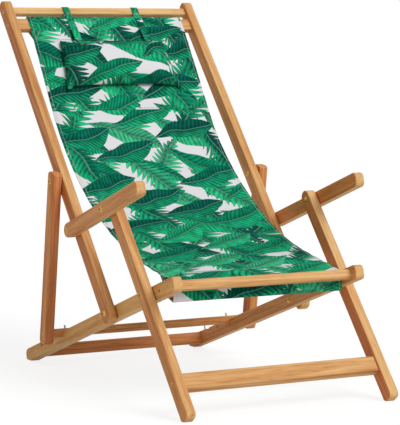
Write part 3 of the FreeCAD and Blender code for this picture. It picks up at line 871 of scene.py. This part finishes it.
@dataclass
class Sling:
    """The sling: one hemmed cloth with a sleeve at each end, hung between two bars."""

    half_width: float = 222*MM
    cloth: float = 1.2*MM
    wrap: float = 5.4*MM
    back_angle: float = -55.5
    seat_angle: float = -10.0
    bend: float = 830*MM
    upper_sleeve: float = 42*MM
    front_sleeve: float = 55*MM
    sleeve_hang: float = 11*MM
    sleeve_rise: float = 4.5*MM
    allowance: float = 8*MM
    under_gap: float = 1.6*MM
    hem: float = 11*MM
    hem_thickness: float = 0.9*MM
    hem_stitch: float = 7*MM
    stitch_depth: float = 0.3*MM
    twin_rows: tuple[float, float] = (3.5*MM, 1.0*MM)
    row_margins: tuple[float, float] = (3*MM, 2*MM)
    row_step: float = 6*MM
    bare_ends: tuple[float, float] = (50*MM, 65*MM)
    lap_share: float = 0.6
    join_drop: float = 256*MM
    join_lap: float = 12*MM
    join_step: float = 0.7*MM
    join_edge: float = 0.4*MM
    join_seam: float = 4*MM
    join_restart: tuple[float, float] = (0.131, 0.417)
    row: float = 7*MM
    slide: float = 5*MM
    free_from: float = 60*MM
    top_pull: Ripple = Ripple(0.9, 62, 0, 0.7)
    top_pull_fade: float = 160*MM
    foot_pull: Ripple = Ripple(0.8, 74, 0, 2.1)
    foot_pull_fade: float = 120*MM
    slack: Ripple = Ripple(1.1, 11, 7.3, 0.4)
    slack_swell: Ripple = Ripple(1.0, 0, 9.1, 1.2)
    small_slack: Ripple = Ripple(0.5, 23, -17, 2.0)
    edge_flutter: Ripple = Ripple(0.35, 0, 118, 0)
    edge_phase: float = 1.3
    edge_fade: float = 20*MM
    crease: Ripple = Ripple(1.8, 3, 134, 0)
    crease_wander: Ripple = Ripple(1.7, 6, 0, 0.8)
    crease_fade: float = 170*MM
    upper_bar: Bar = Bar("upper_sling_bar", 130.5, 14*MM, 5*MM)
    front_bar: Bar = Bar("front_sling_bar", 198.75, 8*MM, 13.5*MM)
    strip: ClothStrip = field(init=False)
    top_run: float = field(init=False)
    end_run: float = field(init=False)
    join_run: float = field(init=False)

    def off_bar(self, bar: Bar, angle: float, along: float, level: float) -> Flat:
        """A place on a straight run of the cloth.

        Args:
            bar: the bar at one end of the run.
            angle: the run's angle in the side view.
            along: the distance along the run from where it meets the bar.
            level: the distance out from the cloth's middle surface.

        Returns:
            The place in the side view.
        """
        way = unit(angle)
        return bar.corner(-1, 1) + way*along + leftward(way)*(self.wrap + level)

    def on_back(self, drop: float, level: float) -> Flat:
        """A place on the back's straight run, by its drop from the upper bar and its level."""
        return self.off_bar(self.upper_bar, self.back_angle, drop, level)

    def on_seat(self, ahead: float, level: float) -> Flat:
        """A place on the seat's straight run, by how far ahead of the front bar it is and its level."""
        return self.off_bar(self.front_bar, self.seat_angle, ahead, level)

    def lay_path(self) -> None:
        """Lays the cloth's path round both bars and through the bend between them."""
        upper = [self.upper_bar.corner(*key) for key in ((-1, -1), (1, -1), (1, 1), (-1, 1))]
        for corner in upper[1:3]:
            corner += unit(self.upper_bar.angle)*self.sleeve_rise
        lower = [self.front_bar.corner(*key) for key in ((-1, 1), (-1, -1), (-1, -1), (1, -1))]
        lower[2][1] -= self.sleeve_hang
        upper_seam = self.on_back(self.upper_sleeve, -self.under_gap)
        front_seam = self.on_seat(-self.front_sleeve, -self.under_gap)
        rise = heading(upper[0] - upper_seam) + tilt(upper_seam, upper[0], self.wrap)
        fall = heading(front_seam - lower[-1]) - tilt(lower[-1], front_seam, self.wrap)
        back, seat = unit(self.back_angle), unit(self.seat_angle)
        gap = self.on_seat(0.0, 0.0) - self.on_back(0.0, 0.0)
        share = (gap[0]*seat[1] - gap[1]*seat[0])/(back[0]*seat[1] - back[1]*seat[0])
        turn = self.seat_angle - self.back_angle
        start = self.on_back(share - self.bend*math.tan(math.radians(turn/2)), 0.0)
        centre = start + leftward(back)*self.bend
        count = math.ceil(math.radians(turn)*self.bend/self.row)
        angles = [self.back_angle + turn*step/count for step in range(count + 1)]
        bend = [centre - leftward(unit(angle))*self.bend for angle in angles]
        head = [self.on_back(self.upper_sleeve + self.allowance, -self.under_gap), upper_seam,
                *belt(upper, self.wrap, rise, self.back_angle)]
        foot = [*belt(lower, self.wrap, self.seat_angle, fall), front_seam,
                self.on_seat(-self.front_sleeve - self.allowance, -self.under_gap)]
        path = stations([*head, *bend, *foot], self.row)
        run = np.concatenate([[0.0], np.cumsum(np.linalg.norm(np.diff(path, axis=0), axis=1))])
        self.join_run = float(run[len(stations(head, self.row)) - 1]) + self.join_drop
        join = [[np.interp(self.join_run + step, run, column) for column in path.T]
                for step in (-self.join_edge, self.join_edge)]
        path = np.insert(path, np.searchsorted(run, self.join_run), join, axis=0)
        self.strip = ClothStrip(path, 0.0, self.half_width, self.cloth, hem=self.hem,
                                hem_thickness=self.hem_thickness, groove=self.hem_stitch,
                                groove_depth=self.stitch_depth, slide=self.slide)
        self.top_run = self.run_of(head[-1])
        self.end_run = self.run_of(foot[0])

    def run_of(self, place: Flat) -> float:
        """The distance along the path of the station nearest to a place."""
        nearest = np.argmin(np.linalg.norm(self.strip.path - place, axis=1))
        return float(self.strip.run[nearest])

    def wave(self, x: float, run: float) -> float:
        """How far the cloth stands out of its even path, from its pull and its seams.

        Args:
            x: the distance from the middle line.
            run: the distance along the path.

        Returns:
            The distance outwards, in metres.
        """
        top = run - self.top_run
        foot = self.end_run - run
        if top < 0 or foot < 0:
            return 0.0
        free = min(1.0, top/self.free_from)*min(1.0, foot/self.free_from)
        pull = self.top_pull.at(x, run)*math.exp(-top/self.top_pull_fade)
        pull += self.foot_pull.at(x, run)*math.exp(-foot/self.foot_pull_fade)
        slack = self.slack.at(x, run)*self.slack_swell.at(x, run) + self.small_slack.at(x, run)
        edge = self.edge_flutter.at(x, run, math.copysign(self.edge_phase, x))
        edge *= math.exp(-(self.half_width - abs(x))/self.edge_fade)
        crease = self.crease.at(x, run, self.crease_wander.at(x, run))*math.exp(-foot/self.crease_fade)
        above = self.join_run - run
        lap = self.join_step*max(0.0, 1 - above/self.join_lap) if above > 0 else 0.0
        return free*(pull + slack + edge + crease)*MM + lap

    def seams(self) -> tuple[list[Seam], list[Seam]]:
        """Lists the sling's seams.

        Returns:
            The seams of its side hems, and those across its sleeves and its join.
        """
        strip = self.strip
        hems = []
        crossings = []
        rows = range(2, len(strip.run) - 2)
        first, last = self.top_run + self.bare_ends[0], self.end_run - self.bare_ends[1]
        face = self.cloth/2
        for x in (self.hem_stitch - self.half_width, self.half_width - self.hem_stitch):
            for side in (1, -1):
                level = side*face - (0.0 if side > 0 else self.hem_thickness)
                inner = [index for index in rows if side > 0 or first < strip.run[index] < last]
                points = [strip.at(index, x, level + self.wave(x, strip.run[index])) for index in inner]
                hems.append((np.array(points), self.ways(inner, side)))
        before, after = self.row_margins
        across = np.arange(before - self.half_width, self.half_width - after, self.row_step)
        inside, outside = self.twin_rows
        upper, front = self.top_run + self.upper_sleeve, self.end_run - self.front_sleeve
        marks = [upper - inside, upper + outside, self.join_run - self.join_seam]
        marks += [front - outside, front + inside]
        for mark in marks:
            index = int(np.argmin(np.abs(strip.run - mark)))
            slide = mark - strip.run[index]
            ahead = strip.path[index + 1] - strip.path[index]
            shift = in_space(0.0, ahead/np.linalg.norm(ahead)*slide)
            for side, level in ((1, face), (-1, -face - self.under_gap - self.cloth*self.lap_share)):
                points = [strip.at(index, x, level + self.wave(x, mark)) + shift for x in across]
                out = in_space(0.0, strip.ways[index])*side
                crossings.append((np.array(points), np.tile(out, (len(across), 1))))
        return hems, crossings

    def restart_print(self, piece: bpy.types.Object) -> None:
        """Moves the print on the cloth below the join, which was cut from another length.

        Args:
            piece: the sling.
        """
        layer = piece.data.uv_layers[UV_NAME].data
        for face in piece.data.polygons:
            loops = [layer[number] for number in face.loop_indices]
            if min(loop.uv[1] for loop in loops) > self.join_run - self.join_edge/4:
                for loop in loops:
                    loop.uv += Vector(self.join_restart)

    def ways(self, rows: Sequence[int], side: int) -> np.ndarray:
        """The directions out of the cloth's outer face, or of the other, at some rows."""
        return np.array([in_space(0.0, self.strip.ways[index])*side for index in rows])

    def build(self, face: bpy.types.Material, reverse: bpy.types.Material, thread: bpy.types.Material,
              green_thread: bpy.types.Material) -> None:
        """Makes the sling and its stitching.

        Args:
            face: the cloth's printed face.
            reverse: the cloth's other face.
            thread: the stitches along its sides.
            green_thread: the stitches across it.
        """
        self.lay_path()
        sling = self.strip.build("sling_cloth", self.wave)
        self.restart_print(sling)
        sling.data.materials.append(face)
        sling.data.materials.append(reverse)
        hems, crossings = self.seams()
        stitches = []
        for name, rows, material in (("sling_stitches", hems, thread),
                                     ("sling_cross_stitches", crossings, green_thread)):
            stitches.append(Stitching().sew(name, rows))
            stitches[-1].data.materials.append(material)
        for piece in (sling, *stitches):
            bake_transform(piece)
        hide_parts("sling")


@dataclass
class HeadPillow:
    """A stuffed pillow of two sewn panels that lies on the sling below the head rail."""

    sling: Sling
    middle: float = -4*MM
    top_half: float = 157*MM
    bottom_half: float = 174*MM
    length: float = 166*MM
    drop: float = 37*MM
    seam_level: float = 7.4*MM
    front: float = 25*MM
    behind: float = 5*MM
    side_seam_drop: float = 3*MM
    top_draw: float = 5*MM
    bottom_draw: float = 11*MM
    side_draw: float = 4*MM
    droop: float = 9*MM
    sag: float = 0.20
    crown_power: float = 0.62
    strap_lift: float = 5*MM
    pucker: float = 0.9*MM
    pucker_turns: tuple[float, float] = (1.9, 0.4)
    pucker_fade: float = 0.12
    cut_at: tuple[float, float] = (0.37, 0.11)
    cell: float = 4.6*MM
    pressure: float = 4.0
    frames: int = 20
    reach: float = 8*MM
    clearance: float = 1.2*MM
    fill: float = 0.55
    piece: bpy.types.Object = field(init=False)

    def at(self, x: float, drop: float, level: float) -> np.ndarray:
        """A place by its distance across, down the sling and out of it."""
        return in_space(x, self.sling.on_back(drop, level))

    def flat_of(self, place: Sequence[float]) -> tuple[float, float]:
        """How far down the sling and out of it a place is.

        Args:
            place: the place in the row frame.

        Returns:
            The drop and the level, in metres.
        """
        away = side_view(place) - self.sling.on_back(0.0, 0.0)
        way = unit(self.sling.back_angle)
        return float(away @ way), float(away @ leftward(way))

    def build(self, cover: bpy.types.Material) -> None:
        """Makes the pillow from two panels that share their seam, then swells it.

        Args:
            cover: the pillow's cloth.
        """
        wide = round(2*self.bottom_half/self.cell)
        long = round(self.length/self.cell)
        places = []
        flat = []
        faces = []
        numbers: dict[tuple[int, int, int], int] = {}
        for side in (1, -1):
            for row in range(long + 1):
                for column in range(wide + 1):
                    rim = row in (0, long) or column in (0, wide)
                    key = (0 if rim else side, row, column)
                    if key in numbers:
                        continue
                    numbers[key] = len(places)
                    across, down = 2*column/wide - 1, 2*row/long - 1
                    crown = ((1 - abs(across)**3)*(1 - down**2))**self.crown_power*(1 + self.sag*down)
                    hung = self.strap_lift*max(0.0, -down)**3*(1 - across**4)
                    puff = (self.front if side > 0 else -self.behind)*crown
                    turns = column*self.pucker_turns[0] + row*self.pucker_turns[1]
                    pucker = self.pucker*math.sin(turns)*math.exp(-(1 - abs(down))/self.pucker_fade)
                    half = (self.top_half*(1 - down) + self.bottom_half*(1 + down))/2
                    x = self.middle + across*(half - self.side_draw*(1 - down**2))
                    draw = self.top_draw if down < 0 else self.bottom_draw
                    drop = self.drop + self.length/2 + down*(self.length/2 - draw*(1 - across**4))
                    drop += self.droop*across**6*max(0.0, -down)
                    seam = self.seam_level - self.side_seam_drop*across**4
                    places.append(self.at(x, drop, seam + hung + puff + pucker*side))
                    flat.append((x + self.cut_at[0], drop + self.cut_at[1]))
            for row in range(long):
                for column in range(wide):
                    corners = []
                    for down, right in ((0, 0), (1, 0), (1, 1), (0, 1)):
                        rim = row + down in (0, long) or column + right in (0, wide)
                        corners.append(numbers[(0 if rim else side, row + down, column + right)])
                    faces.append(corners[::side])
        self.piece = new_piece("pillow_cover", places, faces, flat)
        self.piece.data.materials.append(cover)
        self.swell()
        self.piece.modifiers.new("smooth", "SUBSURF").levels = 1
        self.piece.modifiers["smooth"].render_levels = 1
        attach(self.piece, "back_frame")
        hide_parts("head_pillow")
        LOG.info("head pillow with %d cloth points", len(places))

    def swell(self) -> None:
        """Fills the pillow with cloth simulation, as far as its reach and clear of the sling."""
        mesh = self.piece.data
        start = np.array([vertex.co for vertex in mesh.vertices])
        cloth = self.piece.modifiers.new("swell", "CLOTH")
        cloth.settings.use_pressure = True
        cloth.settings.uniform_pressure_force = self.pressure
        cloth.settings.effector_weights.gravity = 0.0
        cloth.point_cache.frame_end = self.frames
        for step in range(1, self.frames + 1):
            bpy.context.scene.frame_set(step)
        swollen = self.piece.evaluated_get(bpy.context.evaluated_depsgraph_get()).data
        moved = np.array([vertex.co for vertex in swollen.vertices])
        self.piece.modifiers.remove(cloth)
        bpy.context.scene.frame_set(1)
        move = moved - start
        length = np.linalg.norm(move, axis=1)
        LOG.info("pillow swelled by up to %.1f mm", length.max()/MM)
        move *= (np.minimum(length, self.reach)/np.maximum(length, 1e-9))[:, None]
        for vertex, place in zip(mesh.vertices, start + move):
            drop, level = self.flat_of(place)
            vertex.co = self.at(place[0], drop, max(level, self.clearance))
        mesh.update()

    def surface(self) -> BVHTree:
        """The pillow's surface, to lay a strap's end on."""
        mesh = self.piece.data
        return BVHTree.FromPolygons([vertex.co for vertex in mesh.vertices],
                                    [face.vertices for face in mesh.polygons])


class Side(Enum):
    """The sitter's sides, with the way along X that each is on."""

    LEFT = 1
    RIGHT = -1


@dataclass
class PillowStrap:
    """A flat strap that loops over the head rail and holds the pillow."""

    pillow: HeadPillow
    side: Side
    place: float = 100*MM
    half_width: float = 9.5*MM
    thickness: float = 1.8*MM
    wrap: float = 5.3*MM
    tail: float = 23*MM
    tail_end: float = 3*MM
    ply_gap: float = 0.3*MM
    foot: tuple[float, float] = (43*MM, 13*MM)
    lap: float = 7*MM
    lap_start: float = 4*MM
    lap_steps: int = 6
    lap_share: float = 0.6
    probe: float = 90*MM
    row: float = 4*MM
    column: float = 3*MM
    cut_at: tuple[float, float] = (0.31, 0.62)
    stitching: Stitching = Stitching(pitch=4.5*MM, length=3.2*MM)
    stitch_inset: float = 2.2*MM
    stitch_count: int = 5
    closing_step: float = 5*MM
    end_rows: tuple[float, float] = (6*MM, 2*MM)
    rail: Bar = Bar("head_rail", 130.5, 7*MM, 4*MM)
    closing: tuple[float, float] = field(init=False)

    def lay_path(self) -> np.ndarray:
        """Lays the strap from its sewn tail, round the rail and down onto the pillow.

        Returns:
            The strap's middle line in the side view.
        """
        corners = [self.rail.corner(*key) for key in ((-1, -1), (1, -1), (1, 1))]
        foot = self.pillow.sling.on_back(*self.foot)
        leave = heading(foot - corners[-1]) - tilt(corners[-1], foot, self.wrap)
        way = unit(leave)
        start = corners[-1] + leftward(way)*self.wrap + way*self.tail
        under = start - leftward(way)*(self.thickness + self.ply_gap)
        rise = heading(corners[0] - under) + tilt(under, corners[0], self.wrap)
        points = [under + way*self.tail_end, under, *belt(corners, self.wrap, rise, leave)]
        reached = float(np.sum(np.linalg.norm(np.diff(np.array(points), axis=0), axis=1)))
        self.closing = (reached + self.tail - self.closing_step, reached + self.tail)
        surface = self.pillow.surface()
        middle = self.side.value*self.place
        out = Vector(in_space(0.0, leftward(unit(self.pillow.sling.back_angle))))
        for step in range(1, self.lap_steps + 1):
            drop = self.foot[0] + self.lap_start + self.lap*step/self.lap_steps
            above = Vector(self.pillow.at(middle, drop, self.probe))
            hit = surface.ray_cast(above, -out)[0]
            if hit:
                points.append(side_view(hit) + np.array(side_view(out))*self.thickness*self.lap_share)
        return stations(points, self.row)

    def build(self, face: bpy.types.Material, reverse: bpy.types.Material,
              thread: bpy.types.Material) -> None:
        """Makes the strap and its stitching.

        Args:
            face: the strap's printed face.
            reverse: its other face.
            thread: the stitches.
        """
        name = self.side.name.lower()
        middle = self.side.value*self.place
        strip = ClothStrip(self.lay_path(), middle, self.half_width, self.thickness, cut_at=self.cut_at,
                           column=self.column)
        strap = strip.build(f"pillow_strap_tape_{name}")
        strap.data.materials.append(face)
        strap.data.materials.append(reverse)
        edge = self.half_width - self.stitch_inset
        ways = np.array([in_space(0.0, way) for way in strip.ways])
        seams = []
        across = np.linspace(-edge, edge, self.stitch_count)
        for run in (*self.closing, *(strip.run[-1] - inset for inset in self.end_rows)):
            index = int(np.argmin(np.abs(strip.run - run)))
            points = np.array([strip.at(index, x, self.thickness/2) for x in across])
            seams.append((points, np.tile(ways[index], (len(across), 1))))
        stitches = self.stitching.sew(f"pillow_strap_stitches_{name}", seams)
        stitches.data.materials.append(thread)
        for piece in (strap, stitches):
            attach(piece, "back_frame")
        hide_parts(f"pillow_strap_{name}")


@dataclass
class Timber:
    """All the planks and rungs, which keep their CAD shape and get their own wood."""

    finish: OiledHardwood = OiledHardwood()
    seed_start: float = 3.1
    seed_step: float = 1.37
    depth_spread: float = 0.12
    # The tints are painted shade: redder on the faces across the chair and on the rear parts, which stand in
    # shade
    boards: dict[str, BoardTone] = field(default_factory=lambda: {
        "seat_rail_left": BoardTone(-0.06, notched=True),
        "seat_rail_right": BoardTone(-0.10, faces="#FFF4DC", notched=True),
        "rear_stretcher": BoardTone(0.0, "#FFD8C8"),
        "front_bar": BoardTone(-0.05),
        "back_rail_left": BoardTone(-0.05),
        "back_rail_right": BoardTone(0.11),
        "head_rail": BoardTone(-0.19),
        "front_leg_left": BoardTone(-0.15, faces="#F4B8A0"),
        "front_leg_right": BoardTone(0.05, faces="#FFE8D8"),
        "armrest_left": BoardTone(-0.06, faces="#FFD0AE"),
        "armrest_right": BoardTone(-0.05),
        "prop_leg_left": BoardTone(0.03, "#FBDFD2", "#FBCEBC"),
        "prop_leg_right": BoardTone(0.05, "#F6CFC8", "#FFE4CC"),
        "prop_crossbar": BoardTone(-0.05, "#FFE4D2"),
    })

    def dress(self) -> None:
        """Gives each plank a wood with its grain along it."""
        planks = [part["node"] for part in frame["record"]["subparts"]
                  if part["material_slot"] == "oiled_hardwood"]
        for number, name in enumerate(planks):
            node = frame["nodes"][name]
            places = np.array([vertex.co for vertex in node.data.vertices])
            spread = places - places.mean(axis=0)
            axis = Vector(np.linalg.svd(spread, full_matrices=False)[2][0])
            node.data.materials.clear()
            board = self.boards.get(name, BoardTone(self.depth_spread*((number*EVEN_SPREAD) % 1.0 - 0.5)))
            seed = self.seed_start + number*self.seed_step
            node.data.materials.append(self.finish.make(name, axis, seed, board))
            LOG.info("wood on %s", name)


@dataclass
class Hardware:
    """The bolts, nuts, washers, screws and pins, which keep their CAD shape."""

    finishes: dict[str, PlatedMetal] = field(default_factory=lambda: {
        "brass_bolts": PlatedMetal("satin_brass_plating", "#CFA557", "#9F7636", 0.30),
        "zinc_steel": PlatedMetal("zinc_plated_steel", "#B9B6AE", "#8F8C86", 0.38)})

    def dress(self) -> None:
        """Gives each node the metal of its slot."""
        for slot, finish in self.finishes.items():
            material = finish.make()
            for part in frame["record"]["subparts"]:
                if part["material_slot"] == slot:
                    node = frame["nodes"][part["node"]]
                    node.data.materials.clear()
                    node.data.materials.append(material)
                    LOG.info("%s on %s", finish.name, part["node"])


@dataclass
class Studio:
    """A white floor and background, soft light from the front right, and the camera."""

    camera_place: tuple[float, float, float] = (-2.2003, -4.2121, 0.8373)
    camera_way: tuple[float, float, float] = (0.4671, 0.8795, -0.0906)
    lens: float = 165.2
    sensor: float = 36.0
    ambient: float = 0.42
    key_way: tuple[float, float, float] = (-0.30, 0.66, -0.69)
    key_power: float = 1.95
    key_spread: float = 38.0
    floor_half: float = 14.0
    floor_colour: str = "#F1F1F1"
    floor_roughness: float = 0.9
    floor_glow: float = 0.74
    floor_strength: float = 1.1

    def seen(self, graph: Graph) -> bpy.types.Node:
        """Adds the nodes that tell what the camera sees, straight or by reflection.

        Args:
            graph: the nodes that they join.

        Returns:
            A node whose value is 1 for such rays and 0 for the rest.
        """
        path = graph.add("ShaderNodeLightPath").outputs
        shine = graph.math("MAXIMUM", path["Is Glossy Ray"], path["Is Transmission Ray"])
        return graph.math("MAXIMUM", path["Is Camera Ray"], shine)

    def build(self) -> None:
        """Makes the floor, the world, the lamp and the camera."""
        scene = bpy.context.scene
        scene.view_settings.view_transform = "Standard"
        half = self.floor_half
        corners = [(-half, -half, 0.0), (half, -half, 0.0), (half, half, 0.0), (-half, half, 0.0)]
        floor = new_piece("studio_floor", corners, [(0, 1, 2, 3)])
        material, graph, shader = new_material("white_paper_sweep")
        graph.feed(shader, {"Base Color": linear(self.floor_colour), "Roughness": self.floor_roughness})
        glow = graph.add("ShaderNodeEmission", (1.0, 1.0, 1.0, 1.0), self.floor_strength)
        share = graph.math("MULTIPLY", self.seen(graph), self.floor_glow)
        mixed = graph.add("ShaderNodeMixShader", share, shader, glow)
        graph.feed(graph.tree.nodes["Material Output"], {"Surface": mixed})
        floor.data.materials.append(material)

        world = bpy.data.worlds.new("studio_light")
        world.use_nodes = True
        scene.world = world
        graph = Graph(world.node_tree)
        strength = graph.remap(self.seen(graph), 0.0, 1.0, self.ambient, 1.0)
        graph.feed(world.node_tree.nodes["Background"], {"Color": (1.0, 1.0, 1.0, 1.0), "Strength": strength})

        key = bpy.data.lights.new("key_light", "SUN")
        key.energy = self.key_power
        key.angle = math.radians(self.key_spread)
        lamp = bpy.data.objects.new("key_light", key)
        lamp.rotation_mode = "QUATERNION"
        lamp.rotation_quaternion = Vector(self.key_way).to_track_quat("-Z", "Y")
        scene.collection.objects.link(lamp)

        data = bpy.data.cameras.new("camera")
        data.lens = self.lens
        data.sensor_width = self.sensor
        camera = bpy.data.objects.new("camera", data)
        camera.location = self.camera_place
        camera.rotation_mode = "QUATERNION"
        camera.rotation_quaternion = Vector(self.camera_way).to_track_quat("-Z", "Y")
        scene.collection.objects.link(camera)
        scene.camera = camera
        LOG.info("studio and camera")


def main() -> None:
    """Builds and dresses the chair, piece by piece."""
    logging.basicConfig(level=logging.INFO, format="%(name)s: %(message)s")
    Studio().build()
    Timber().dress()
    Hardware().dress()
    canvas = PrintedCanvas()
    group = canvas.leaf_group()
    face = canvas.make("printed_canvas_face", group)
    reverse = canvas.make("printed_canvas_reverse", group, faded=True)
    thread = SewingThread().make()
    green_thread = SewingThread("dyed_polyester_thread", "#4E9F80", "#2F7F60").make()
    sling = Sling()
    sling.build(face, reverse, thread, green_thread)
    pillow = HeadPillow(sling)
    pillow.build(face)
    for side in Side:
        PillowStrap(pillow, side).build(face, reverse, thread)


if __name__ == "__main__":
    main()
